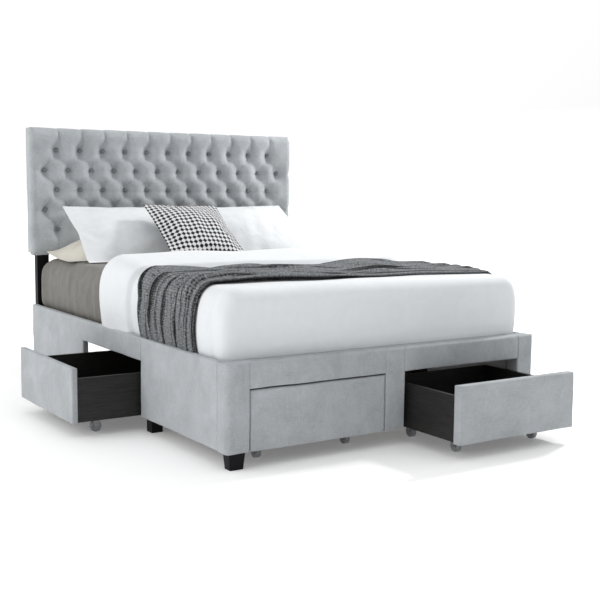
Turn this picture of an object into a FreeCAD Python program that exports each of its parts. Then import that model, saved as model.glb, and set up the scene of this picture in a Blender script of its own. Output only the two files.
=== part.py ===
"""Platform bed with four storage drawers on castors, a tufted headboard and its bedding.

Units are millimetres. The origin is the middle of the bed on the floor, +Z is up, +Y points to
the head and the left side of the bed, seen from its foot, is at -X.
The left side drawer and the right foot drawer stand open.
"""
import FreeCAD, Part
import os
import re
import Sketcher

SIZES = {
    # mattress and the clearances round it
    "mattress_width": 1372,
    "mattress_length": 1905,
    "mattress_thick": 254,
    "mattress_side_gap": 22,
    "mattress_foot_gap": 12,
    "mattress_head_gap": 4,
    "mattress_corner": 45,
    # upholstered frame panels
    "side_thick": 24,
    "foot_thick": 70,
    "panel_bottom": 62,
    "rail_top": 382,
    "rail_depth": 93,
    "rail_rounding": 8,
    "foot_corner_rounding": 20,
    "foot_top_rounding": 9,
    "stile_outer": 91,
    "stile_centre": 90,
    "side_opening_start": 725,
    "side_opening_length": 626,
    # headboard
    "head_thick": 80,
    "head_overhang": 4,
    "head_bottom": 640,
    "head_top": 1255,
    "head_rounding": 14,
    "head_front_pad": 30,
    "head_edge_pad": 22,
    "back_panel_thick": 4,
    "post_width": 60,
    "post_depth": 40,
    "head_rail_height": 70,
    "rail_overrun": 40,
    # button tufting
    "tuft_pitch": 121,
    "tuft_row_pitch": 98,
    "tuft_top_margin": 107,
    "tuft_bottom_margin": 70,
    "tuft_side_margin": 55,
    "tuft_pocket_radius": 18,
    "tuft_pocket_depth": 16,
    "button_radius": 11,
    "button_height": 9,
    # mattress support
    "slat_drop": 40,
    "slat_thick": 16,
    "slat_width": 70,
    "slat_count": 13,
    "slat_end_margin": 30,
    "slat_end_gap": 1,
    "ledger_width": 24,
    "ledger_height": 25,
    "beam_width": 40,
    "beam_height": 50,
    "cross_rail_height": 40,
    "cross_rail_width": 40,
    "head_cross_setback": 20,
    # legs
    "foot_leg_width": 66,
    "foot_leg_depth": 56,
    "foot_leg_taper": 5,
    "foot_leg_side_inset": 16,
    "foot_leg_front_inset": 10,
    "foot_leg_rounding": 7,
    "mid_leg_size": 48,
    "mid_leg_setback": 3,
    "centre_leg_spacing": 500,
    # corner brackets and their bolts
    "bracket_leg": 40,
    "bracket_thick": 3,
    "bracket_height": 100,
    "bracket_bottom": 180,
    "bolt_radius": 3,
    "bolt_length": 18,
    "bolt_head_radius": 7,
    "bolt_head_height": 5,
    "bolt_edge": 24,
    "bolt_end_margin": 22,
    # drawers
    "drawer_side_gap": 5,
    "drawer_top_gap": 8,
    "drawer_box_gap": 19,
    "drawer_box_drop": 51,
    "drawer_board": 15,
    "drawer_floor": 9,
    "drawer_front_rounding": 5,
    "foot_front_thick": 34,
    "side_front_thick": 22,
    "foot_drawer_depth": 500,
    "side_drawer_depth": 560,
    "foot_drawer_pull": 325,
    "side_drawer_pull": 283,
    # castors
    "wheel_radius": 23,
    "wheel_width": 20,
    "wheel_rounding": 3,
    "wheel_floor_gap": 0.5,
    "axle_radius": 3,
    "axle_clearance": 0.05,
    "axle_head": 2,
    "fork_cheek": 2.5,
    "fork_side_gap": 1,
    "fork_depth": 24,
    "fork_below_axle": 8,
    "fork_headroom": 13,
    "castor_plate_thick": 3,
    "castor_plate_width": 46,
    "castor_plate_depth": 56,
    "castor_side_inset": 95,
    "castor_front_setback": 130,
    "castor_back_setback": 95,
    # bedding
    "duvet_skirt_thick": 10,
    "duvet_top_thick": 34,
    "duvet_fold_rise": 45,
    "duvet_tuck": 30,
    "duvet_setback": 789,
    "duvet_fold_length": 330,
    "duvet_rounding": 30,
    "throw_thick": 7,
    "throw_foot_gap": 128,
    "throw_fold_gap": 112,
    "throw_skew": 90,
    "soft_gap": 0.5,
    "pillow_length": 632,
    "pillow_height": 462,
    "pillow_thick": 116,
    "pillow_rounding": 48,
    "pillow_tilt": 31,
    "pillow_setback": 283,
    "pillow_rise": 156,
    "pillow_spread": 8,
    "back_pillow_length": 660,
    "back_pillow_spread": 20,
    "back_pillow_depth": 385,
    "back_pillow_nose": 8,
    "back_pillow_crest": 140,
    "back_pillow_crest_depth": 60,
    "back_pillow_crest_slope": 8,
    "back_pillow_toe_depth": 130,
    "back_pillow_toe_rise": 78,
    "back_pillow_edge": 6,
    "cushion_size": 440,
    "cushion_thick": 96,
    "cushion_rounding": 40,
    "cushion_tilt": 33,
    "cushion_setback": 512,
    "cushion_rise": 172,
    "cushion_offset": 90,
}

PLACES = {
    # faces of the frame
    "half_width": "mattress_width / 2 + mattress_side_gap + side_thick",
    "side_inner": "half_width - side_thick",
    "foot_front": "-(foot_thick + mattress_foot_gap + mattress_length"
                  " + mattress_head_gap + head_thick) / 2",
    "foot_back": "foot_front + foot_thick",
    "mattress_foot": "foot_back + mattress_foot_gap",
    "mattress_head": "mattress_foot + mattress_length",
    "head_front": "mattress_head + mattress_head_gap",
    "head_back": "head_front + head_thick",
    "rail_end": "head_front + rail_overrun",
    "opening_top": "rail_top - rail_depth",
    "side_opening_foot": "foot_front + side_opening_start",
    "side_opening_head": "side_opening_foot + side_opening_length",
    # support levels
    "slat_top": "rail_top - slat_drop",
    "slat_bottom": "slat_top - slat_thick",
    "beam_bottom": "slat_bottom - beam_height",
    "cross_bottom": "beam_bottom - cross_rail_height",
    "mattress_top": "slat_top + mattress_thick",
    # headboard
    "head_half": "half_width + head_overhang",
    "post_front": "head_front + head_front_pad",
    "post_back": "post_front + post_depth",
    "post_inner": "side_inner - post_width",
    "frame_top": "head_top - head_edge_pad",
    "frame_bottom": "head_bottom + head_edge_pad",
    # drawers, measured from the middle of the front's outer face
    "foot_opening_half": "(2 * half_width - 2 * stile_outer - stile_centre) / 4",
    "side_opening_half": "side_opening_length / 2",
    "front_top": "opening_top - drawer_top_gap",
    "box_bottom": "wheel_floor_gap + 2 * wheel_radius + fork_headroom + castor_plate_thick",
    "box_top": "opening_top - drawer_box_drop",
    "axle_height": "wheel_floor_gap + wheel_radius",
    "fork_half": "wheel_width / 2 + fork_side_gap",
    # bedding
    "duvet_half": "mattress_width / 2 + duvet_skirt_thick",
    "duvet_foot": "mattress_foot - duvet_skirt_thick",
    "duvet_head": "head_front - duvet_setback",
    "duvet_top": "mattress_top + duvet_top_thick",
    "skirt_bottom": "rail_top - duvet_tuck",
    "throw_top": "duvet_top + throw_thick",
    "throw_half": "duvet_half + soft_gap + throw_thick",
    "throw_right_start": "duvet_foot + throw_foot_gap",
    "throw_left_start": "throw_right_start + throw_skew",
    "throw_left_end": "duvet_head - duvet_fold_length - throw_fold_gap",
    "throw_band": "throw_left_end - throw_left_start",
}

DRAWERS = {
    # name: (x, y, turn about Z, half opening, front thickness, depth)
    "foot_drawer_left": (
        "-(stile_centre / 2 + foot_opening_half)", "foot_front", 0,
        "foot_opening_half", "foot_front_thick", "foot_drawer_depth"),
    "foot_drawer_right": (
        "stile_centre / 2 + foot_opening_half", "foot_front - foot_drawer_pull", 0,
        "foot_opening_half", "foot_front_thick", "foot_drawer_depth"),
    "side_drawer_left": (
        "-half_width - side_drawer_pull", "side_opening_foot + side_opening_half", -90,
        "side_opening_half", "side_front_thick", "side_drawer_depth"),
    "side_drawer_right": (
        "half_width", "side_opening_foot + side_opening_half", 90,
        "side_opening_half", "side_front_thick", "side_drawer_depth"),
}

doc = FreeCAD.newDocument("StorageBed")
sheet = doc.addObject("Spreadsheet::Sheet", "Sizes")
for row, (alias, size) in enumerate(SIZES.items(), start=1):
    sheet.set(f"A{row}", str(size))
    sheet.setAlias(f"A{row}", alias)
doc.recompute()

places = doc.addObject("App::VarSet", "Places")
scratch = doc.addObject("App::VarSet", "Draft")
scratch.addProperty("App::PropertyFloat", "draft")
nodes = []


def cells(formula):
    """The formula with each size or place named by the object that holds it."""
    def owner(match):
        word = match.group(0)
        if word in SIZES:
            return "Sizes." + word
        if word in PLACES:
            return "Places." + word
        raise NameError(word)
    return re.sub(r"[a-z][a-z_]+", owner, str(formula))


def bind(item, **formulas):
    for name, formula in formulas.items():
        item.setExpression(name.replace("__", "."), cells(formula))


for place, place_formula in PLACES.items():
    places.addProperty("App::PropertyFloat", place)
    bind(places, **{place: place_formula})
doc.recompute()


def stand(item, x="0", y="0", z="0", turn=0, about=(0, 0, 1)):
    """Puts an object at a point, turned by a number of degrees about an axis."""
    item.Placement = FreeCAD.Placement(
        FreeCAD.Vector(0, 0, 0), FreeCAD.Rotation(FreeCAD.Vector(*about), turn))
    bind(item, Placement__Base__x=x, Placement__Base__y=y, Placement__Base__z=z)
    return item


def node(item, label):
    """Names a finished sub-part, which is written to a file of that name."""
    item.Label = label
    nodes.append(item)
    return item


def block(kind, x, y, z, home=doc):
    """A box between two formulas along each axis: a Part box, or a feature of a body."""
    new = home.newObject if home is not doc else home.addObject
    box = new(kind, "Block")
    bind(box, Length=f"({x[1]}) - ({x[0]})", Width=f"({y[1]}) - ({y[0]})",
         Height=f"({z[1]}) - ({z[0]})")
    bind(box, Placement__Base__x=x[0], Placement__Base__y=y[0], Placement__Base__z=z[0])
    return box


def board(x, y, z):
    return block("Part::Box", x, y, z)


def body(label):
    return node(doc.addObject("PartDesign::Body", "Body"), label)


def fillet(home, radius, picked):
    """Rounds the edges of a body's last feature that picked(edge box, body box) accepts."""
    doc.recompute()
    base = home.Tip
    whole = base.Shape.BoundBox
    chosen = [f"Edge{number}" for number, edge in enumerate(base.Shape.Edges, start=1)
              if picked(edge.BoundBox, whole)]
    rounding = home.newObject("PartDesign::Fillet", "Rounding")
    rounding.Base = (base, chosen)
    bind(rounding, Radius=radius)
    return rounding


def near(a, b):
    return abs(a - b) < 0.01


def every_edge(_edge, _whole):
    return True


def top_edges(edge, whole):
    return near(edge.ZMin, whole.ZMax)


def front_edges(edge, whole):
    return near(edge.YMax, whole.YMin)


def outline(home, plane, offset, corners):
    """A closed sketch of straight sides on an origin plane, each corner bound to formulas."""
    sketch = home.newObject("Sketcher::SketchObject", "Outline")
    support = [item for item in home.Origin.OriginFeatures if item.Role == plane]
    sketch.AttachmentSupport = [(support[0], "")]
    sketch.MapMode = "FlatFace"
    bind(sketch, AttachmentOffset__Base__z=offset)
    probe = [FreeCAD.Vector(point_value(across), point_value(up), 0) for across, up in corners]
    count = len(corners)
    for corner in range(count):
        sketch.addGeometry(Part.LineSegment(probe[corner], probe[(corner + 1) % count]), False)
    for corner in range(count):
        sketch.addConstraint(
            Sketcher.Constraint("Coincident", corner, 2, (corner + 1) % count, 1))
    for corner, formulas in enumerate(corners):
        for kind, formula, start in zip(
                ("DistanceX", "DistanceY"), formulas, (probe[corner].x, probe[corner].y)):
            place_at = sketch.addConstraint(
                Sketcher.Constraint(kind, -1, 1, corner, 1, start))
            bind(sketch, **{f"Constraints[{place_at}]": formula})
    return sketch


def point_value(formula):
    """The present value of a formula, for a sketch's first draft or a count."""
    scratch.setExpression("draft", cells(formula))
    doc.recompute()
    return scratch.draft


def pad(home, sketch, length):
    """Thickens a sketch along its plane's normal."""
    feature = home.newObject("PartDesign::Pad", "Pad")
    feature.Profile = sketch
    bind(feature, Length=length)
    return feature


def group(label, parts):
    """Several separate solids in one node."""
    compound = doc.addObject("Part::Compound", "Group")
    compound.Links = parts
    return node(compound, label) if label else compound


def copy_of(item, x="0", y="0", z="0", turn=0, about=(0, 0, 1)):
    """Another copy of a finished piece at its own place."""
    link = doc.addObject("App::Link", "Copy")
    link.LinkedObject = item
    link.LinkTransform = True
    link.Placement = FreeCAD.Placement(
        FreeCAD.Vector(0, 0, 0), FreeCAD.Rotation(FreeCAD.Vector(*about), turn))
    bind(link, Placement__Base__x=x, Placement__Base__y=y, Placement__Base__z=z)
    return link


def both_sides(low, high):
    """The span from low to high on the right of the bed, and its mirror on the left."""
    return {"left": (f"-({high})", f"-({low})"), "right": (low, high)}


def make_headboard():
    wide = ("-head_half", "head_half")
    shell = doc.addObject("PartDesign::Body", "HeadboardShell")
    block("PartDesign::AdditiveBox", wide, ("head_front", "head_back - back_panel_thick"),
          ("head_bottom", "head_top"), shell)
    fillet(shell, "head_rounding",
           lambda edge, whole: front_edges(edge, whole) and not near(edge.ZMax, whole.ZMin))
    inside = ("post_front", "head_back - back_panel_thick")
    block("PartDesign::SubtractiveBox", ("-side_inner", "side_inner"), inside,
          ("frame_bottom", "frame_top"), shell)
    for span in both_sides("post_inner", "side_inner").values():
        block("PartDesign::SubtractiveBox", span, ("post_front", "post_back"),
              ("head_bottom", "frame_bottom"), shell)
    rows = 1 + int(point_value("(head_top - head_bottom - tuft_top_margin"
                               " - tuft_bottom_margin) / tuft_row_pitch"))
    longest = 1 + int(point_value("2 * (head_half - tuft_side_margin) / tuft_pitch"))
    buttons = []
    hollows = []
    for row in range(rows):
        count = longest - 1 + row % 2
        for column in range(count):
            x = f"{column - (count - 1) / 2} * tuft_pitch"
            z = f"head_top - tuft_top_margin - {row} * tuft_row_pitch"
            hollow = doc.addObject("Part::Cylinder", "TuftHollow")
            bind(hollow, Radius="tuft_pocket_radius", Height="tuft_pocket_depth")
            hollows.append(stand(hollow, x, "head_front + tuft_pocket_depth", z, 90, (1, 0, 0)))
            button = doc.addObject("Part::Cylinder", "Button")
            bind(button, Radius="button_radius", Height="button_height")
            buttons.append(stand(button, x, "head_front + tuft_pocket_depth", z, 90, (1, 0, 0)))
    tufted = doc.addObject("Part::Cut", "TuftedShell")
    tufted.Base = shell
    tufted.Tool = group("", hollows)
    node(tufted, "headboard_upholstery")
    group("headboard_buttons", buttons)
    node(board(wide, ("head_back - back_panel_thick", "head_back"),
               ("head_bottom", "head_top")), "headboard_back_panel")
    posts = [board(span, ("post_front", "post_back"), ("0", "frame_top"))
             for span in both_sides("post_inner", "side_inner").values()]
    group("headboard_posts", posts)
    middle = "(frame_top + frame_bottom) / 2 - head_rail_height / 2"
    rails = [board(("-post_inner", "post_inner"), ("post_front", "post_back"),
                   (low, f"{low} + head_rail_height"))
             for low in ("frame_bottom", middle, "frame_top - head_rail_height")]
    group("headboard_cross_rails", rails)


def make_side_panels():
    panels = {
        "side_foot_panel": (("foot_back", "side_opening_foot"), ("panel_bottom", "rail_top")),
        "side_rail": (("side_opening_foot", "rail_end"), ("opening_top", "rail_top")),
        "side_head_block": (("side_opening_head", "rail_end"), ("panel_bottom", "opening_top")),
    }
    for name, (along, tall) in panels.items():
        for hand, across in both_sides("side_inner", "half_width").items():
            panel = body(f"{name}_{hand}")
            block("PartDesign::AdditiveBox", across, along, tall, panel)
            if name != "side_head_block":
                fillet(panel, "rail_rounding", lambda edge, whole:
                       top_edges(edge, whole) and edge.YLength > edge.XLength)


def make_foot_panel():
    deep = ("foot_front", "foot_back")
    rail = body("foot_top_rail")
    block("PartDesign::AdditiveBox", ("-half_width", "half_width"), deep,
          ("opening_top", "rail_top"), rail)
    fillet(rail, "foot_corner_rounding", lambda edge, whole:
           front_edges(edge, whole) and edge.ZLength > edge.XLength)
    fillet(rail, "foot_top_rounding", lambda edge, whole:
           top_edges(edge, whole) and not near(edge.YMin, whole.YMax)
           and not near(edge.YMax, whole.YMax))
    low = ("panel_bottom", "opening_top")
    for hand, across in both_sides("half_width - stile_outer", "half_width").items():
        stile = body(f"foot_stile_{hand}")
        block("PartDesign::AdditiveBox", across, deep, low, stile)
        at_left = hand == "left"
        fillet(stile, "foot_corner_rounding", lambda edge, whole:
               front_edges(edge, whole) and edge.ZLength > edge.XLength
               and near(edge.XMin, whole.XMin if at_left else whole.XMax))
    node(board(("-stile_centre / 2", "stile_centre / 2"), deep, low), "foot_stile_centre")


def make_support():
    for_ledger = ("slat_bottom - ledger_height", "slat_bottom")
    ledgers = [board(span, ("foot_back", "head_front"), for_ledger)
               for span in both_sides("side_inner - ledger_width", "side_inner").values()]
    group("slat_ledgers", ledgers)
    first = "mattress_foot + slat_end_margin"
    pitch = "(mattress_length - 2 * slat_end_margin - slat_width) / (slat_count - 1)"
    reach = "side_inner - slat_end_gap"
    slats = [board((f"-({reach})", reach),
                   (f"{first} + {number} * {pitch}", f"{first} + {number} * {pitch} + slat_width"),
                   ("slat_bottom", "slat_top"))
             for number in range(SIZES["slat_count"])]
    group("slats", slats)
    half_beam = "beam_width / 2"
    node(board((f"-{half_beam}", half_beam), ("foot_back", "head_front"),
               ("beam_bottom", "slat_bottom")), "centre_beam")
    mid_back = "side_opening_foot - mid_leg_setback"
    mid_centre = f"({mid_back} - mid_leg_size / 2)"
    head_back = "(head_front - head_cross_setback)"
    cross_spans = [
        (f"{mid_centre} - cross_rail_width / 2", f"{mid_centre} + cross_rail_width / 2"),
        (f"{head_back} - cross_rail_width", head_back),
    ]
    rails = [board(("-side_inner", "side_inner"), span, ("cross_bottom", "beam_bottom"))
             for span in cross_spans]
    group("cross_rails", rails)
    mid_legs = [board(span, (f"{mid_back} - mid_leg_size", mid_back), ("0", "cross_bottom"))
                for span in both_sides("side_inner - mid_leg_size", "side_inner").values()]
    group("mid_legs", mid_legs)
    centre_legs = [board((f"-{half_beam}", half_beam),
                         (f"{step} * centre_leg_spacing - {half_beam}",
                          f"{step} * centre_leg_spacing + {half_beam}"),
                         ("0", "beam_bottom"))
                   for step in (-1, 0, 1)]
    group("centre_legs", centre_legs)


def make_foot_legs():
    """Blocks that narrow towards the floor under the corners of the foot panel."""
    legs = []
    outer = "half_width - foot_leg_side_inset"
    near_side = both_sides(f"{outer} - foot_leg_width", outer)
    for left, right in near_side.values():
        leg = doc.addObject("PartDesign::Body", "FootLeg")
        front = "foot_front + foot_leg_front_inset"
        back = f"{front} + foot_leg_depth"
        top = outline(leg, "XY_Plane", "panel_bottom", [
            (left, front), (right, front), (right, back), (left, back)])
        block_down = pad(leg, top, "panel_bottom")
        block_down.Reversed = True
        bind(block_down, TaperAngle="-foot_leg_taper")
        fillet(leg, "foot_leg_rounding", lambda edge, whole: edge.ZLength > 1)
        legs.append(leg)
    group("foot_corner_legs", legs)


def make_brackets():
    """Steel angles in the four corners, each held by two bolts in each leg."""
    angle = doc.addObject("PartDesign::Body", "Angle")
    leg, thick = "bracket_leg", "bracket_thick"
    section = outline(angle, "XY_Plane", "0", [
        ("0", "0"), (leg, "0"), (leg, thick), (thick, thick), (thick, leg), ("0", leg)])
    pad(angle, section, "bracket_height")
    heights = ("bolt_end_margin", "bracket_height - bolt_end_margin")
    tools = []
    for height in heights:
        for x, y, about in (("bolt_edge", "2 * bracket_thick", (1, 0, 0)),
                            ("-bracket_thick", "bolt_edge", (0, 1, 0))):
            hole = doc.addObject("Part::Cylinder", "BoltHole")
            bind(hole, Radius="bolt_radius", Height="3 * bracket_thick")
            tools.append(stand(hole, x, y, height, 90, about))
    bracket = doc.addObject("Part::Cut", "DrilledAngle")
    bracket.Base = angle
    bracket.Tool = group("", tools)
    head = doc.addObject("Part::Prism", "BoltHead")
    head.Polygon = 6
    bind(head, Circumradius="bolt_head_radius", Height="bolt_head_height")
    shank = doc.addObject("Part::Cylinder", "BoltShank")
    bind(shank, Radius="bolt_radius", Height="bolt_length")
    stand(shank, "0", "0", "-bolt_length")
    bolt = doc.addObject("Part::Fuse", "Bolt")
    bolt.Base = head
    bolt.Tool = shank
    corners = (
        # x, y, turn that lays the angle's two legs against the corner's faces
        ("-side_inner", "foot_back", 0),
        ("side_inner", "foot_back", 90),
        ("side_inner", "post_front", 180),
        ("-side_inner", "post_front", 270),
    )
    angles = []
    bolts = []
    for x, y, turn in corners:
        angles.append(copy_of(bracket, x, y, "bracket_bottom", turn))
        turned = FreeCAD.Rotation(FreeCAD.Vector(0, 0, 1), turn)
        for height in heights:
            for along, out in (((1, 0), (0, 1)), ((0, 1), (1, 0))):
                run = turned.multVec(FreeCAD.Vector(along[0], along[1], 0))
                face = turned.multVec(FreeCAD.Vector(out[0], out[1], 0))
                axis = FreeCAD.Vector(0, 0, 1).cross(face)
                spot = [f"{base} + {round(run[i])} * bolt_edge + {round(face[i])} * bracket_thick"
                        for i, base in enumerate((x, y))]
                bolts.append(copy_of(bolt, spot[0], spot[1], f"bracket_bottom + {height}",
                                     90, tuple(axis)))
    group("corner_brackets", angles)
    group("frame_bolts", bolts)


def make_castor():
    """One fork, one axle pin and one wheel, centred on the wheel."""
    fork = doc.addObject("PartDesign::Body", "Fork")
    inner, outer = "fork_half", "fork_half + fork_cheek"
    plate_low = "wheel_radius + fork_headroom"
    cheeks = outline(fork, "XZ_Plane", "-fork_depth / 2", [
        (f"-({outer})", "-fork_below_axle"), ("-fork_half", "-fork_below_axle"),
        ("-fork_half", plate_low), (inner, plate_low), (inner, "-fork_below_axle"),
        (outer, "-fork_below_axle"), (outer, f"{plate_low} + castor_plate_thick"),
        (f"-({outer})", f"{plate_low} + castor_plate_thick")])
    pad(fork, cheeks, "fork_depth")
    fillet(fork, "fork_depth / 3", lambda edge, whole:
           near(edge.ZMax, whole.ZMin) and edge.XLength > edge.YLength)
    half_plate = "castor_plate_width / 2"
    half_deep = "castor_plate_depth / 2"
    block("PartDesign::AdditiveBox", (f"-{half_plate}", half_plate),
          (f"-{half_deep}", half_deep), (plate_low, f"{plate_low} + castor_plate_thick"), fork)
    reach = "(fork_half + fork_cheek + axle_head)"
    pins = []
    for name in ("AxleHole", "AxlePin"):
        pin = doc.addObject("Part::Cylinder", name)
        bind(pin, Radius="axle_radius", Height=f"2 * {reach}")
        pins.append(stand(pin, f"-{reach}", "0", "0", 90, (0, 1, 0)))
    drilled = doc.addObject("Part::Cut", "DrilledFork")
    drilled.Base = fork
    drilled.Tool = pins[0]
    wheel = doc.addObject("PartDesign::Body", "Wheel")
    half, bore = "wheel_width / 2", "axle_radius + axle_clearance"
    section = outline(wheel, "XZ_Plane", "0", [
        (f"-{half}", bore), (half, bore), (half, "wheel_radius"), (f"-{half}", "wheel_radius")])
    turned = wheel.newObject("PartDesign::Revolution", "Turned")
    turned.Profile = section
    axis = [item for item in wheel.Origin.OriginFeatures if item.Role == "X_Axis"]
    turned.ReferenceAxis = (axis[0], [""])
    turned.Angle = 360
    fillet(wheel, "wheel_rounding", lambda edge, whole:
           near(edge.ZLength, whole.ZLength) and edge.XLength < 1)
    return drilled, pins[1], wheel


def make_drawer(name, castor):
    """A drawer whose front faces -Y before it is turned, its front's outer face at y = 0."""
    x, y, turn, opening_half, front_thick, depth = DRAWERS[name]
    front_half = f"({opening_half} - drawer_side_gap)"
    box_half = f"({opening_half} - drawer_box_gap)"
    inner_half = f"({box_half} - drawer_board)"
    front = body(f"{name}_front")
    block("PartDesign::AdditiveBox", (f"-{front_half}", front_half), ("0", front_thick),
          ("panel_bottom", "front_top"), front)
    fillet(front, "drawer_front_rounding", front_edges)
    stand(front, x, y, "0", turn)
    tall = ("box_bottom", "box_top")
    sides = [board(span, (front_thick, depth), tall)
             for span in both_sides(inner_half, box_half).values()]
    across = (f"-{inner_half}", inner_half)
    back = board(across, (f"{depth} - drawer_board", depth), tall)
    floor = board(across, (front_thick, f"{depth} - drawer_board"),
                  ("box_bottom", "box_bottom + drawer_floor"))
    for part_name, parts in (("sides", sides), ("back", [back]), ("floor", [floor])):
        stand(group(f"{name}_{part_name}", parts), x, y, "0", turn)
    fork, pin, wheel = castor
    reach = f"({front_half} - castor_side_inset)"
    axles = {"front": "castor_front_setback", "back": f"({depth} - castor_back_setback)"}
    spots = [(sign, row) for row in axles.values() for sign in (-1, 1)]
    forks = [copy_of(piece, f"{sign} * {reach}", row, "axle_height")
             for sign, row in spots for piece in (fork, pin)]
    stand(group(f"{name}_castor_forks", forks), x, y, "0", turn)
    for end, row in axles.items():
        pair = [copy_of(wheel, f"{sign} * {reach}", row, "axle_height") for sign in (-1, 1)]
        stand(group(f"{name}_{end}_wheels", pair), x, y, "0", turn)


def make_bedding():
    mattress = body("mattress")
    block("PartDesign::AdditiveBox", ("-mattress_width / 2", "mattress_width / 2"),
          ("mattress_foot", "mattress_head"), ("slat_top", "mattress_top"), mattress)
    fillet(mattress, "mattress_corner", lambda edge, whole: edge.ZLength > 1)
    half, foot = "duvet_half", "duvet_foot"
    duvet = body("duvet")
    block("PartDesign::AdditiveBox", (f"-{half}", half), (foot, "duvet_head"),
          ("skirt_bottom", "duvet_top"), duvet)
    fillet(duvet, "duvet_rounding", lambda edge, whole:
           top_edges(edge, whole) and near(edge.YLength, whole.YLength))
    block("PartDesign::SubtractiveBox", ("-mattress_width / 2", "mattress_width / 2"),
          ("mattress_foot", "duvet_head"), ("skirt_bottom", "mattress_top"), duvet)
    fold_half = f"({half} - duvet_rounding)"
    block("PartDesign::AdditiveBox", (f"-{fold_half}", fold_half),
          ("duvet_head - duvet_fold_length", "duvet_head"),
          ("duvet_top", "duvet_top + duvet_fold_rise"), duvet)
    throw = body("throw")
    side, inner = "throw_half", "duvet_half + soft_gap"
    top_low, top_high = "duvet_top + soft_gap", "throw_top + soft_gap"
    top = outline(throw, "XY_Plane", top_low, [
        (f"-({side})", "throw_left_start"), (side, "throw_right_start"),
        (side, "throw_right_start + throw_band"), (f"-({side})", "throw_left_end")])
    pad(throw, top, f"({top_high}) - ({top_low})")
    for low, high, start in ((f"-({side})", f"-({inner})", "throw_left_start"),
                             (inner, side, "throw_right_start")):
        block("PartDesign::AdditiveBox", (low, high), (start, f"{start} + throw_band"),
              ("skirt_bottom", top_high), throw)
    slab = ("pillow_length", "pillow_height", "pillow_thick")
    for hand, sign in (("left", -1), ("right", 1)):
        make_slab(f"pillow_{hand}", slab, "pillow_rounding",
                  (f"{sign} * (pillow_length / 2 + pillow_spread)",
                   "head_front - pillow_setback", "mattress_top + pillow_rise"), "pillow_tilt")
        make_back_pillow(f"back_pillow_{hand}", sign)
    make_slab("cushion", ("cushion_size", "cushion_size", "cushion_thick"), "cushion_rounding",
              ("-cushion_offset", "head_front - cushion_setback",
               "mattress_top + cushion_rise"), "cushion_tilt")


def make_slab(label, size, rounding, centre, tilt):
    """A soft rounded slab whose head end is tilted up."""
    slab = body(label)
    spans = [(f"-{length} / 2", f"{length} / 2") for length in size]
    block("PartDesign::AdditiveBox", *spans, slab)
    fillet(slab, rounding, every_edge)
    stand(slab, *centre, 1, (1, 0, 0))
    bind(slab, Placement__Rotation__Angle=tilt)


def make_back_pillow(label, sign):
    """A pillow lying on the mattress, pressed into a wedge by the one that leans on it."""
    pillow = body(label)
    near_head = "head_front - back_pillow_nose"
    foot_end = "head_front - back_pillow_depth"
    low = "mattress_top + soft_gap"
    inner = "back_pillow_spread"
    start = inner if sign > 0 else f"-({inner} + back_pillow_length)"
    section = outline(pillow, "YZ_Plane", start, [
        (foot_end, low), (near_head, low), (near_head, f"{low} + back_pillow_crest"),
        (f"{near_head} - back_pillow_crest_depth",
         f"{low} + back_pillow_crest + back_pillow_crest_slope"),
        (f"{foot_end} + back_pillow_toe_depth", f"{low} + back_pillow_toe_rise"),
        (foot_end, f"{low} + back_pillow_edge")])
    pad(pillow, section, "back_pillow_length")


def check_and_write():
    doc.recompute()
    for item in doc.Objects:
        if "Invalid" in item.State or "Error" in item.State:
            raise RuntimeError(f"{item.Label} failed: {item.State}")
    os.makedirs("parts", exist_ok=True)
    for item in nodes:
        if item.Shape.isNull() or not item.Shape.isValid():
            raise RuntimeError(f"{item.Label} has no valid shape")
        item.Shape.exportStep(f"parts/{item.Label}.step")
    print(len(nodes), "nodes written")


make_headboard()
make_side_panels()
make_foot_panel()
make_support()
make_foot_legs()
make_brackets()
castor_parts = make_castor()
for drawer_name in DRAWERS:
    make_drawer(drawer_name, castor_parts)
make_bedding()
check_and_write()
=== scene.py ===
"""The looks of the platform bed: upholstery, bedding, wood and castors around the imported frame.

Everything is in metres, in the frame's own axes: +Y is the head, -X is the left side.
"""
import math

import bpy
import numpy as np
from mathutils import Euler, Matrix, Vector


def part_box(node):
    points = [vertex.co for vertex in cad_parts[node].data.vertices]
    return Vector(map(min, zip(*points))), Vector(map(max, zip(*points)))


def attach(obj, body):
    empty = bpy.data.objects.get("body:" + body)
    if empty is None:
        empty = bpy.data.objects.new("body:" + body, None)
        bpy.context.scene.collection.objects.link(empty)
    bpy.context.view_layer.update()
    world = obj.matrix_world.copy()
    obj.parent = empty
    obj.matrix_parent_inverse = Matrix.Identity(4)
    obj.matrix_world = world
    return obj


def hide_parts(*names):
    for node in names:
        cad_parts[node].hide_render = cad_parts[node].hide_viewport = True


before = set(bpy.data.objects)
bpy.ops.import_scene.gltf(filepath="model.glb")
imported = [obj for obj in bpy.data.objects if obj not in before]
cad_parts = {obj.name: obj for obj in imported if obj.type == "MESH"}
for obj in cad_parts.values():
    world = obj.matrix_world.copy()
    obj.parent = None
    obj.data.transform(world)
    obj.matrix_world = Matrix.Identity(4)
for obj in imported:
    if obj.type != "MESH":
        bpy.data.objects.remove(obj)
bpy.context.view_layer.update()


# ---------------------------------------------------------------- numbers

def smooth(x, low, high):
    """0 below low, 1 above high and an even S between."""
    share = np.clip((np.asarray(x, float) - low) / (high - low), 0, 1)
    return share * share * (3 - 2 * share)


def bump(x, centre, width):
    """A round hill 1 high at the centre."""
    return np.exp(-((np.asarray(x, float) - centre) / width) ** 2)


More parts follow.
